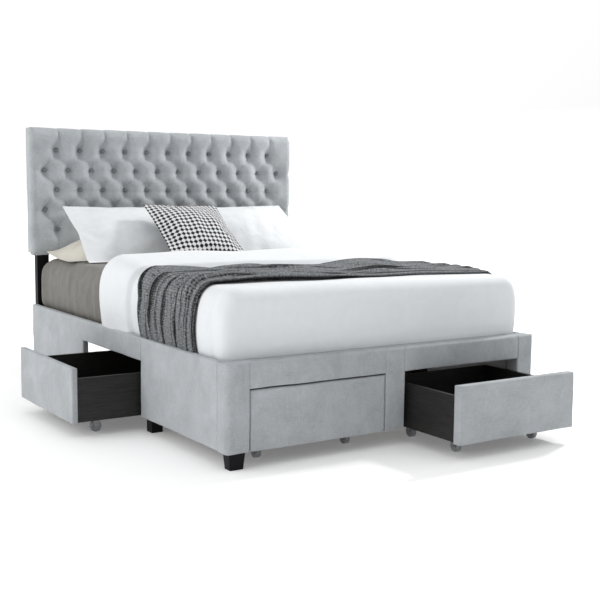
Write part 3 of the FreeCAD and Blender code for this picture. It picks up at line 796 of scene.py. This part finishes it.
def make_mattress():
    """The mattress in its sheet; its bare head end is plumper than what the duvet holds down."""
    low, high = np.array(MATTRESS_LOW), np.array(MATTRESS_HIGH)
    lines = [even(low[k], high[k], 0.014) for k in range(3)]
    faces_wanted = [(axis, side) for axis in range(3) for side in range(2)]
    grid, faces = box_grid(low, high, faces_wanted, lines)
    points, normals = rounded(grid, low, high, MATTRESS_ROUNDING)
    sideways = 1 - np.abs(normals[:, 2])
    height = (points[:, 2] - low[2]) / (high[2] - low[2])
    bare = smooth(points[:, 1], DUVET_HIGH.y, DUVET_HIGH.y + 0.08)
    belly = (0.004 + 0.010 * bare) * np.sin(math.pi * np.clip(height, 0, 1)) * sideways
    corner = np.abs(normals[:, 0]) * np.clip(normals[:, 1], 0, 1) * bare
    points[:, 0] += HEAD_CORNER_FILL * np.sign(points[:, 0]) * corner
    points[:, 2] += HEAD_SWELL * bare * smooth(height, 0.4, 1.0)
    pulls = ripples(points, 61, 0.11, (1, 1, 3.5)) * 0.0022 * sideways
    creases = ripples(points, 62, 0.035, (1, 1, 4)) * 0.0008 * sideways
    points = points + normals * (belly + pulls + creases - 0.003)[:, None]
    piece = mesh_object("mattress_in_fitted_sheet", points, faces)
    finish_piece(piece, "bed_frame", ["mattress"], SHEET_COTTON)


BASE_LOW = np.array((MATTRESS_LOW.x - 0.001, MATTRESS_LOW.y - 0.001, DUVET_LOW.z))
BASE_HIGH = np.array((MATTRESS_HIGH.x + 0.001, DUVET_HIGH.y, MATTRESS_HIGH.z + 0.001))
FOLD_FRONT = DUVET_HIGH.y - FOLD_LENGTH
HEAD_ROLL = 0.100
TOP_LOFT = 0.036
SIDE_LOFT, SIDE_BELLY = 0.009, 0.014
FOOT_LOFT, FOOT_BELLY = 0.010, 0.004
FOLD_TOP_LOFT, FOLD_TOP_ARCH = 0.010, 0.050
FOLD_SIDE_LOFT, FOLD_SIDE_ARCH = 0.008, 0.022
LEAST_LOFT = 0.004


def duvet_base(points):
    """Points on the box under the duvet, rounded at its top and foot but not where it is open."""
    low = BASE_LOW - np.array((0, 0, 1.0))
    high = BASE_HIGH + np.array((0, 1.0, 0))
    return rounded(points, low, high, MATTRESS_ROUNDING)


def duvet_loft(points, normals):
    """The duvet's thickness at points of its base."""
    y, z = points[:, 1], points[:, 2]
    up = np.clip(normals[:, 2], 0, 1) ** 2
    sideways = np.abs(normals[:, 0]) ** 2
    footward = np.clip(-normals[:, 1], 0, 1) ** 2
    hang = np.clip((z - RAIL_TOP) / (BASE_HIGH[2] - RAIL_TOP), -0.2, 1)
    belly = np.sin(math.pi * np.clip(hang * 0.9 + 0.08, 0, 1))
    loft = up * TOP_LOFT + sideways * (SIDE_LOFT + SIDE_BELLY * belly)
    loft += footward * (FOOT_LOFT + FOOT_BELLY * belly)
    foot = normals[:, 1] ** 2 * (y < 0)
    loft += 4 * foot * (0.015 * normals[:, 2] ** 2 + 0.013 * sideways)
    loft += up * ripples(points, 71, 0.42) * 0.0028
    loft += up * ripples(points, 72, 0.13, (1.8, 1, 1)) * 0.0010
    loft += footward * ripples(points, 73, 0.060, (6, 1, 1)) * 0.0007
    loft += sideways * ripples(points, 74, 0.16, (1, 1, 2.6)) * 0.0022
    corner = sideways * bump(y, BASE_LOW[1] + 0.05, 0.05)
    loft += corner * (0.004 - 0.006 * bump(y, BASE_LOW[1] + 0.075, 0.012))
    band = (y - FOLD_FRONT) / FOLD_LENGTH
    double = smooth(y, FOLD_FRONT - 0.004, FOLD_FRONT + 0.016)
    arch = np.sin(math.pi * np.clip(band * 0.68 + 0.06, 0, 1))
    loft += double * up * (FOLD_TOP_LOFT + FOLD_TOP_ARCH * arch)
    loft += double * sideways * (FOLD_SIDE_LOFT + FOLD_SIDE_ARCH * arch)
    loft -= bump(y, FOLD_FRONT - 0.010, 0.010) * 0.004 * (up + sideways)
    loft += double * ripples(points, 75, 0.17, (2.5, 1, 1.5)) * 0.0018
    past = np.clip((y - (DUVET_HIGH.y - HEAD_ROLL)) / HEAD_ROLL, 0, 1)
    return np.maximum(loft, LEAST_LOFT) * np.sqrt(1 - past ** 2)


def make_duvet():
    low, high = BASE_LOW, BASE_HIGH
    roll = [high[1] - HEAD_ROLL * (1 - math.sin(k / 10 * math.pi / 2)) for k in range(1, 11)]
    edge = [FOLD_FRONT + offset
            for offset in (-0.02, -0.012, -0.006, -0.002, 0.003, 0.008, 0.014, 0.02)]
    step = 0.011
    along = np.array(sorted(set(np.round([*even(low[1], FOLD_FRONT - 0.03, step), *edge,
                                          *even(FOLD_FRONT + 0.03, high[1] - HEAD_ROLL, step),
                                          *roll], 6))))
    lines = [even(low[0], high[0], step), along, even(low[2], high[2], step)]
    grid, faces = box_grid(low, high, [(2, 1), (0, 0), (0, 1), (1, 0)], lines)
    base, normals = duvet_base(grid)
    outer = base + normals * duvet_loft(base, normals)[:, None]
    inner = base + normals * 0.0008
    points = np.vstack([outer, inner])
    piece = mesh_object("duvet_folded_back", points, closed_shell(faces, len(grid)))
    finish_piece(piece, "bed_frame", ["duvet"], WHITE_COTTON)


def section_point(travel):
    """A place and normal on the base's cross-section, by its distance from the left hem."""
    radius = MATTRESS_ROUNDING
    rise = BASE_HIGH[2] - radius - BASE_LOW[2]
    turn = radius * math.pi / 2
    level = BASE_HIGH[0] - BASE_LOW[0] - 2 * radius
    angle = np.clip((travel - rise) / radius, 0, math.pi / 2) + np.clip(
        (travel - rise - turn - level) / radius, 0, math.pi / 2)
    flat_run = np.clip(travel - rise - turn, 0, level)
    down = np.clip(travel - rise - 2 * turn - level, 0, rise)
    x = BASE_LOW[0] + radius + flat_run - radius * np.cos(angle)
    z = BASE_LOW[2] + np.clip(travel, 0, rise) + radius * np.sin(angle) - down
    normals = np.column_stack([-np.cos(angle), np.zeros_like(angle), np.sin(angle)])
    return x, z, normals, 2 * rise + 2 * turn + level


THROW_BAND = 0.470
THROW_SKEW = 0.090
THROW_DRIFT = 0.045
THROW_THICK = 0.0055
THROW_HEM = 0.004
THROW_FOLDS = (0.10, 0.19, 0.31, 0.38, 0.52, 0.60, 0.74, 0.79, 0.92)


def throw_relief(s, c):
    """The throw's long folds at a travel across the bed and a share of its width."""
    groove = np.zeros_like(s)
    ridge = np.zeros_like(s)
    source = np.random.RandomState(5)
    for place in THROW_FOLDS:
        sway = 0.020 * np.sin(math.tau * s / source.uniform(0.4, 0.8) + source.uniform(0, 6))
        width = source.uniform(0.008, 0.014)
        fading = 0.55 + 0.45 * np.sin(math.tau * s / source.uniform(0.3, 0.6)
                                      + source.uniform(0, 6))
        groove += fading * bump(c, place + sway, width)
        ridge += fading * bump(c, place + sway + 0.035, 0.024)
    return 0.0050 * ridge - 0.0058 * groove


def make_throw():
    length = section_point(np.zeros(1))[3]
    travel = even(THROW_HEM, length - THROW_HEM, 0.009)
    shares = np.linspace(0, 1, 64)
    s, c = (a.ravel() for a in np.meshgrid(travel, shares, indexing="ij"))
    x, z, normals, _ = section_point(s)
    start = THROW_FOOT_EDGE + THROW_SKEW * (1 - s / length)
    wander = 0.010 * np.sin(math.tau * s / 0.9 + 0.6) + 0.006 * np.sin(math.tau * s / 0.37)
    top = np.clip(normals[:, 2], 0, 1)
    spread = 1 + 0.05 * np.sin(math.tau * s / 1.3 + 1.0)
    y = start + wander * (0.4 + 0.6 * c) + (0.5 + (c - 0.5) * spread) * THROW_BAND
    y += THROW_DRIFT * top * c
    base = np.column_stack([x, y, z])
    under = np.maximum(duvet_loft(base, normals), 0) + 0.0022
    folds = top * 0.011 * np.clip(ripples(base, 81, 0.12, (5, 1, 1)), 0, None)
    rim = np.clip(np.minimum(c, 1 - c) / 0.02, 0, 1)
    thick = THROW_THICK * np.sqrt(1 - (1 - rim) ** 2) + 0.0012
    height = under + thick + 0.0052 + folds + throw_relief(s, c) * (1 + 0.6 * top)
    outer = base + normals * height[:, None]
    inner = base + normals * np.maximum(under + 0.0005, height - thick - 0.002)[:, None]
    width = len(shares)
    starts = [i * width + j for i in range(len(travel) - 1) for j in range(width - 1)]
    faces = [(a, a + width, a + width + 1, a + 1) for a in starts]
    points = np.vstack([outer, inner])
    flat = np.column_stack([c * THROW_BAND, s])
    piece = mesh_object("knitted_throw", points, closed_shell(faces, len(s)),
                        np.vstack([flat, flat]))
    finish_piece(piece, "bed_frame", ["throw"], KNIT)


# ---------------------------------------------------------------- pillows

SIM_FRAMES = 34
BAG_STRETCH = -0.02


def pillow_grid(width, height, columns, rows, start_thick):
    """Two layers of cloth joined all round, as a flat bag that is a little open."""
    us = np.linspace(-1, 1, columns)
    vs = np.linspace(-1, 1, rows)
    number, points, flat, faces = {}, [], [], []
    for layer in (1, -1):
        for i, u in enumerate(us):
            for j, v in enumerate(vs):
                rim = i in (0, columns - 1) or j in (0, rows - 1)
                key = (i, j, 0 if rim else layer)
                if key in number:
                    continue
                number[key] = len(points)
                puff = start_thick * (1 - u ** 2) * (1 - v ** 2) * key[2]
                points.append((u * width / 2, v * height / 2, puff))
                flat.append((u * width / 2, v * height / 2))
    for layer in (1, -1):
        for i in range(columns - 1):
            for j in range(rows - 1):
                corners = []
                for a, b in ((i, j), (i + 1, j), (i + 1, j + 1), (i, j + 1)):
                    rim = a in (0, columns - 1) or b in (0, rows - 1)
                    corners.append(number[(a, b, 0 if rim else layer)])
                faces.append(corners if layer > 0 else corners[::-1])
    return np.array(points), faces, np.array(flat)


def inflate(piece, pressure):
    """Blows a closed bag of cloth up and keeps the result as its mesh."""
    bpy.context.view_layer.objects.active = piece
    cloth = piece.modifiers.new("Cloth", "CLOTH")
    settings = cloth.settings
    settings.quality = 6
    settings.mass = 0.25
    settings.air_damping = 2.0
    settings.tension_stiffness = 30
    settings.compression_stiffness = 25
    settings.shear_stiffness = 12
    settings.bending_stiffness = 0.25
    settings.use_pressure = True
    settings.uniform_pressure_force = pressure
    settings.shrink_min = BAG_STRETCH
    settings.effector_weights.gravity = 0.0
    cloth.collision_settings.use_collision = False
    cloth.point_cache.frame_start = 1
    cloth.point_cache.frame_end = SIM_FRAMES
    scene = bpy.context.scene
    for number in range(1, SIM_FRAMES + 1):
        scene.frame_set(number)
    shape = bpy.data.meshes.new_from_object(
        piece.evaluated_get(bpy.context.evaluated_depsgraph_get()))
    piece.modifiers.remove(cloth)
    piece.data = shape
    scene.frame_set(1)


def coordinates(piece):
    values = np.zeros(len(piece.data.vertices) * 3)
    piece.data.vertices.foreach_get("co", values)
    return values.reshape(-1, 3)


def set_coordinates(piece, points):
    piece.data.vertices.foreach_set("co", np.asarray(points, np.float32).ravel())
    piece.data.update()


def stuffed(name, width, height, thick, pressure, columns, rows, material, fullness):
    """A pillow in its own frame, blown up from a flat bag and fitted to its real size.

    The fullness is how straight the stuffing holds its sides, from 0 to 1.
    """
    points, faces, flat = pillow_grid(width, height, columns, rows, thick * 0.12)
    piece = mesh_object(name, points, faces, flat)
    inflate(piece, pressure)
    shape = coordinates(piece)
    shape -= (shape.max(0) + shape.min(0)) / 2
    span = shape.max(0) - shape.min(0)
    shape *= np.array((width, height, thick)) / span
    shape[:, :2] += (flat * 0.985 - shape[:, :2]) * fullness
    u, v = np.clip(flat / np.array((width / 2, height / 2)), -1, 1).T
    shape[:, 2] *= 0.06 + 0.94 * np.sqrt((1 - u ** 2) * (1 - v ** 2))
    shape[:, 2] *= thick / (shape[:, 2].max() - shape[:, 2].min())
    creases = ripples(shape, len(name), 0.10, (1, 2.4, 1)) * 0.0020
    creases += ripples(shape, len(name) + 1, 0.045, (2.0, 1, 1)) * 0.0007
    shape[:, 2] += np.sign(shape[:, 2]) * creases * (1 - u ** 8) * (1 - v ** 8)
    set_coordinates(piece, shape)
    piece.data.shade_smooth()
    piece.data.materials.append(material)
    subdivision = piece.modifiers.new("Fine", "SUBSURF")
    subdivision.levels = subdivision.render_levels = 1
    return piece


def lay(piece, centre, tilt, spin, sag=0.0, droop=0.0):
    """Spins a pillow in its own plane, tilts its head end up and puts it down on the bed."""
    shape = coordinates(piece)
    c, s = math.cos(spin), math.sin(spin)
    shape = shape @ np.array(((c, s, 0), (-s, c, 0), (0, 0, 1)))
    c, s = math.cos(tilt), math.sin(tilt)
    shape = shape @ np.array(((1, 0, 0), (0, c, s), (0, -s, c)))
    set_coordinates(piece, on_the_bed(shape + np.array(centre), sag, droop))


TOUCH_SOFTNESS = 0.008


def soft_floor(values, level, softness):
    """Values kept above a level, easing in over the softness."""
    return level + softness * np.logaddexp(0, (values - level) / softness)


def on_the_bed(shape, sag, droop):
    """Keeps a pillow off the mattress and the headboard; its lower edge and outer end sink."""
    shape[:, 2] -= droop * smooth(np.abs(shape[:, 0]), 0.42, 0.66)
    middle = (shape[:, 1].max() + shape[:, 1].min()) / 2
    shape[:, 2] -= sag * smooth(middle - shape[:, 1], 0.0, 0.19)
    bed_level = MATTRESS_HIGH.z + HEAD_SWELL + 0.002
    shape[:, 2] = soft_floor(shape[:, 2], bed_level, TOUCH_SOFTNESS)
    shape[:, 1] = -soft_floor(-shape[:, 1], -(HEAD_LOW.y - 0.010), TOUCH_SOFTNESS)
    return shape


PILLOW_SIZE = (0.615, 0.462, 0.130)
PILLOW_TILT = math.radians(32)
PILLOW_PRESSURE = 2.5
PILLOW_SAG = 0.036
BACK_PILLOW_THICK = 0.175
BACK_PILLOW_TILT = math.radians(8)
BACK_PILLOW_PRESSURE = 2.0
BACK_PILLOW_DROOP = 0.045
CUSHION_SIZE = (0.402, 0.440, 0.125)
CUSHION_TILT = math.radians(33)
CUSHION_PRESSURE = 3.5
CUSHION_TO_THE_LEFT = 0.020


def make_pillows():
    for hand, sign in (("left", -1), ("right", 1)):
        low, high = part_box(f"back_pillow_{hand}")
        centre = (low + high) / 2
        piece = stuffed(f"back_pillow_cover_{hand}", high.x - low.x + 0.01, high.y - low.y + 0.02,
                        BACK_PILLOW_THICK, BACK_PILLOW_PRESSURE, 44, 30, IVORY_COTTON, 0.80)
        lay(piece, (centre.x + sign * 0.006, centre.y + 0.010, centre.z - 0.006),
            BACK_PILLOW_TILT, sign * 0.05, droop=BACK_PILLOW_DROOP)
        finish_piece(piece, "bed_frame", [f"back_pillow_{hand}"])
    for hand, sign in (("left", -1), ("right", 1)):
        low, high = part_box(f"pillow_{hand}")
        centre = (low + high) / 2
        piece = stuffed(f"pillow_cover_{hand}", *PILLOW_SIZE, PILLOW_PRESSURE, 60, 44,
                        PILLOW_COTTON, 0.88)
        lay(piece, centre, PILLOW_TILT, sign * 0.02, sag=PILLOW_SAG)
        finish_piece(piece, "bed_frame", [f"pillow_{hand}"])


def make_cushion():
    low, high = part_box("cushion")
    centre = (low + high) / 2
    piece = stuffed("cushion_cover", *CUSHION_SIZE, CUSHION_PRESSURE, 46, 46, ZIGZAG, 0.80)
    lay(piece, (centre.x - CUSHION_TO_THE_LEFT, centre.y, centre.z), CUSHION_TILT, -0.03)
    finish_piece(piece, "bed_frame", ["cushion"])


# ---------------------------------------------------------------- stage

CAMERA_PLACE = (-2.4600, -4.2412, 1.0210)
CAMERA_TURN = 0.6102
CAMERA_PITCH = 0.1123
CAMERA_ROLL = 0.0135
CAMERA_LENS = 63.9
CAMERA_SHIFT = -0.0833
FLOOR_REACH = 70.0
BRIGHT_WAY = (-0.10, 0.50, 0.45)
WHITE_SKY = 1.02
KEY_LIGHT = {"place": (-4.4, 0.5, 2.4), "target": (0, 0, 0.4), "size": (2.4, 2.0), "power": 44}
HEAD_LIGHT = {"place": (3.6, -0.1, 3.2), "target": (-0.1, 0.95, 0.95), "size": (0.6, 0.5),
              "power": 140}


def make_camera():
    data = bpy.data.cameras.new("Camera")
    data.lens = CAMERA_LENS
    data.sensor_width = 36.0
    data.shift_x = CAMERA_SHIFT
    data.clip_end = 300.0
    camera = bpy.data.objects.new("Camera", data)
    camera.location = CAMERA_PLACE
    aim = Euler((math.pi / 2 - CAMERA_PITCH, 0, -CAMERA_TURN)).to_matrix()
    camera.rotation_euler = (aim @ Matrix.Rotation(CAMERA_ROLL, 3, "Z")).to_euler()
    bpy.context.scene.collection.objects.link(camera)
    bpy.context.scene.camera = camera


def area_light(name, place, target, size, power):
    data = bpy.data.lights.new(name, "AREA")
    data.shape = "RECTANGLE"
    data.size, data.size_y = size
    data.energy = power
    light = bpy.data.objects.new(name, data)
    light.location = place
    way = Vector(target) - Vector(place)
    light.rotation_euler = way.to_track_quat("-Z", "Y").to_euler()
    bpy.context.scene.collection.objects.link(light)


def make_world():
    """Soft light all round: white along the horizon, weakest from above the bed's foot."""
    world = bpy.data.worlds.new("Studio")
    bpy.context.scene.world = world
    world.use_nodes = True
    sky = NodeTree(world.node_tree)
    background = sky.first("BACKGROUND")
    way = sky.add("TexCoord").outputs["Generated"]
    dot = sky.add("VectorMath", {0: way, 1: BRIGHT_WAY}, operation="DOT_PRODUCT").outputs["Value"]
    height = sky.add("SeparateXYZ", {0: way}).outputs[2]
    strength = sky.math("MAXIMUM", sky.spread(dot, -0.5, 0.35, 0.31, WHITE_SKY),
                        sky.spread(height, 0.30, 0.06, 0.0, WHITE_SKY))
    sky.links.new(strength, background.inputs["Strength"])
    background.inputs["Color"].default_value = shade(1.0, 1.0, 1.0)


def make_floor():
    """A pale floor that fades into the light behind it far from the bed."""
    corners = [(-FLOOR_REACH, -FLOOR_REACH, 0), (FLOOR_REACH, -FLOOR_REACH, 0),
               (FLOOR_REACH, FLOOR_REACH, 0), (-FLOOR_REACH, FLOOR_REACH, 0)]
    floor = mesh_object("studio_floor", corners, [(0, 1, 2, 3)])
    m = Material("pale_floor", Roughness=0.75, Specular_IOR_Level=0.2,
                 Emission_Color=shade(1.0, 1.0, 1.0))
    m.paint(m.noise(1.2, 3.0, 0.5), 0.0, 1.0, (0.90, 0.90, 0.90), (0.93, 0.93, 0.93))
    distance = m.add("VectorMath", {0: m.place}, operation="LENGTH").outputs["Value"]
    m.links.new(m.spread(distance, 2.5, 9.0, 0.16, 0.6), m.shader.inputs["Emission Strength"])
    floor.data.materials.append(m.data)


bpy.context.scene.view_settings.view_transform = "Standard"
make_camera()
make_world()
area_light("Key", **KEY_LIGHT)
area_light("Head", **HEAD_LIGHT)
make_floor()
dress_nodes()
make_headboard()
make_foot_cover()
make_side_covers()
make_drawer_fronts()
make_mattress()
make_duvet()
make_throw()
make_pillows()
make_cushion()
